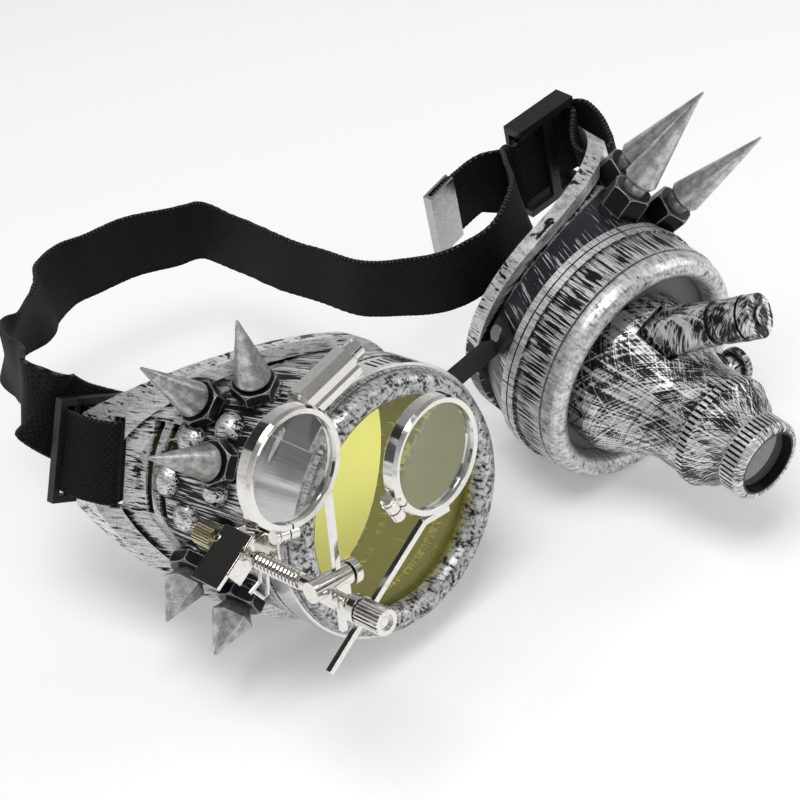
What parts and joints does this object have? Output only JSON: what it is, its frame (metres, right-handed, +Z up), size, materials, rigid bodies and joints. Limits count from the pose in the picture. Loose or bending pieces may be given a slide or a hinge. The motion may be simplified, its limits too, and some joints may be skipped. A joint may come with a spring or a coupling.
{
  "type": "steampunk goggles",
  "caption": "Steampunk goggles with two flanged eye cups, a clip-on double loupe over one lens, a stubby telescope on the other, spikes and an elastic head strap.",
  "frame": {"origin": "floor point under the centre of the whole object's box, as it rests on its eye cups", "axes": "+Z up, -Y the way the goggles look, +X from the yellow lens to the telescope"},
  "size_m": [0.1729, 0.1677, 0.0883],
  "materials": {
    "cup_finish": "black plastic dry-brushed with silver paint",
    "ring_finish": "silver dry-brushed over black, worn",
    "scope_finish": "silver streaks over black",
    "disc_finish": "smooth dark grey",
    "spike_metal": "bright silver with scratches",
    "nut_finish": "black with silver rubbed edges",
    "band_steel": "bright stainless strip",
    "chrome": "polished nickel plate",
    "thumb_brass": "knurled plated brass",
    "yellow_lens": "clear yellow tint",
    "loupe_glass": "clear magnifier",
    "eye_glass": "grey coated lens",
    "gasket_rubber": "matt black",
    "strap_fabric": "ribbed elastic webbing",
    "black_plastic": "satin black",
    "nose_rubber": "matt black strip",
    "clip_steel": "pressed steel",
    "screw_steel": "dark steel"
  },
  "bodies": {
    "left_cup": {"left_cup_shell": "cup_finish", "left_lens": "yellow_lens", "left_gasket": "gasket_rubber", "left_upper_spikes": "spike_metal", "left_lower_spikes": "spike_metal", "left_spike_nuts": "nut_finish", "left_spike_screws": "screw_steel", "clamp_band": "band_steel", "clamp_housing": "chrome", "clip_bracket": "chrome", "clip_legs": "chrome", "loupe_rod": "chrome", "rod_spring": "chrome", "left_strap_tab": "strap_fabric", "left_buckle": "black_plastic", "head_strap": "strap_fabric", "nose_strip": "nose_rubber", "left_nose_rivet": "screw_steel"},
    "right_cup": {"right_cup_shell": "cup_finish", "cover_disc": "disc_finish", "right_gasket": "gasket_rubber", "right_spikes": "spike_metal", "right_spike_nuts": "nut_finish", "right_spike_screws": "screw_steel", "telescope_body": "scope_finish", "objective_lens": "eye_glass", "lever_pin": "screw_steel", "right_nose_rivet": "screw_steel", "strap_end_clip": "clip_steel"},
    "left_ring": {"left_front_ring": "ring_finish"},
    "right_ring": {"right_front_ring": "ring_finish"},
    "clamp_screw": {"clamp_screw": "chrome"},
    "thumb_nut": {"clip_thumb_nut": "thumb_brass"},
    "inner_block": {"inner_block": "chrome"},
    "arm_screw": {"inner_block_screw": "chrome"},
    "inner_loupe": {"inner_arm": "chrome", "inner_loupe_rim": "chrome", "inner_loupe_lens": "loupe_glass", "inner_rim_screw": "chrome"},
    "outer_block": {"outer_block": "chrome"},
    "outer_loupe": {"outer_arm": "chrome", "outer_loupe_rim": "chrome", "outer_loupe_lens": "loupe_glass", "outer_rim_screw": "chrome"},
    "rod_nut": {"rod_end_nut": "chrome"},
    "focus": {"focus_barrel": "scope_finish"},
    "eyepiece": {"eyepiece_cap": "scope_finish", "eyepiece_lens": "eye_glass"},
    "lever": {"lever_barrel": "scope_finish"},
    "lever_knob": {"lever_knob": "scope_finish"},
    "side_knob": {"side_knob": "scope_finish"},
    "slider": {"strap_slider": "black_plastic"}
  },
  "joints": [
    {"name": "nose_flex", "type": "hinge", "parent": "left_cup", "child": "right_cup", "pos_m": [0.00103, -0.02379, 0.04105], "axis": [0, 0, 1], "range_deg": [-8, 8], "stiffness_Nm_per_rad": 0.3, "deforming": ["head_strap", "nose_strip"]},
    {"name": "left_ring_turn", "type": "hinge", "parent": "left_cup", "child": "left_ring", "pos_m": [-0.0374, -0.0406, 0.0347], "axis": [0.0584, -0.9834, 0.1719], "continuous": true},
    {"name": "right_ring_turn", "type": "hinge", "parent": "right_cup", "child": "right_ring", "pos_m": [0.0372, -0.0406, 0.0299], "axis": [-0.0539, -0.9949, -0.0854], "continuous": true},
    {"name": "clamp_screw_turn", "type": "hinge", "parent": "left_cup", "child": "clamp_screw", "pos_m": [-0.04462, -0.03116, 0.06645], "axis": [-0.9765, -0.0921, -0.1947], "continuous": true},
    {"name": "thumb_nut_turn", "type": "hinge", "parent": "left_cup", "child": "thumb_nut", "pos_m": [-0.07294, -0.02371, 0.03872], "axis": [0.0461, -0.9886, 0.1435], "continuous": true},
    {"name": "rod_nut_turn", "type": "hinge", "parent": "left_cup", "child": "rod_nut", "pos_m": [-0.07063, -0.07314, 0.04589], "axis": [0.0461, -0.9886, 0.1435], "continuous": true},
    {"name": "inner_swing", "type": "hinge", "parent": "left_cup", "child": "inner_block", "pos_m": [-0.0712, -0.06098, 0.04413], "axis": [0.0461, -0.9886, 0.1435], "range_deg": [-60, 60]},
    {"name": "outer_swing", "type": "hinge", "parent": "left_cup", "child": "outer_block", "pos_m": [-0.07082, -0.06918, 0.04532], "axis": [0.0461, -0.9886, 0.1435], "range_deg": [-60, 60]},
    {"name": "inner_arm_slide", "type": "slide", "parent": "inner_block", "child": "inner_loupe", "axis": [0.1321, 0.1484, 0.9801], "range_m": [-0.005, 0.005]},
    {"name": "outer_arm_slide", "type": "slide", "parent": "outer_block", "child": "outer_loupe", "axis": [0.8669, 0.111, 0.486], "range_m": [-0.005, 0.005]},
    {"name": "arm_screw_turn", "type": "hinge", "parent": "inner_block", "child": "arm_screw", "pos_m": [-0.07082, -0.06055, 0.04697], "axis": [0.9902, 0.0263, -0.1375], "continuous": true},
    {"name": "focus_turn", "type": "hinge", "parent": "right_cup", "child": "focus", "pos_m": [0.03442, -0.0703, 0.02632], "axis": [-0.0539, -0.9949, -0.0854], "continuous": true},
    {"name": "cap_turn", "type": "hinge", "parent": "focus", "child": "eyepiece", "pos_m": [0.03399, -0.07826, 0.02564], "axis": [-0.0539, -0.9949, -0.0854], "continuous": true},
    {"name": "lever_fold", "type": "hinge", "parent": "right_cup", "child": "lever", "pos_m": [0.03626, -0.05187, 0.04475], "axis": [0.9681, 0.2474, -0.0396], "range_deg": [-30, 0]},
    {"name": "lever_knob_turn", "type": "hinge", "parent": "lever", "child": "lever_knob", "pos_m": [0.04104, -0.06918, 0.05356], "axis": [0.2391, -0.8652, 0.4408], "continuous": true},
    {"name": "side_knob_turn", "type": "hinge", "parent": "right_cup", "child": "side_knob", "pos_m": [0.05122, -0.05515, 0.0266], "axis": [0.9965, -0.0482, -0.0678], "continuous": true},
    {"name": "slider_slide", "type": "slide", "parent": "right_cup", "child": "slider", "axis": [0.9925, 0, 0.1219], "range_m": [-0.004, 0.001], "deforming": ["head_strap"]}
  ]
}
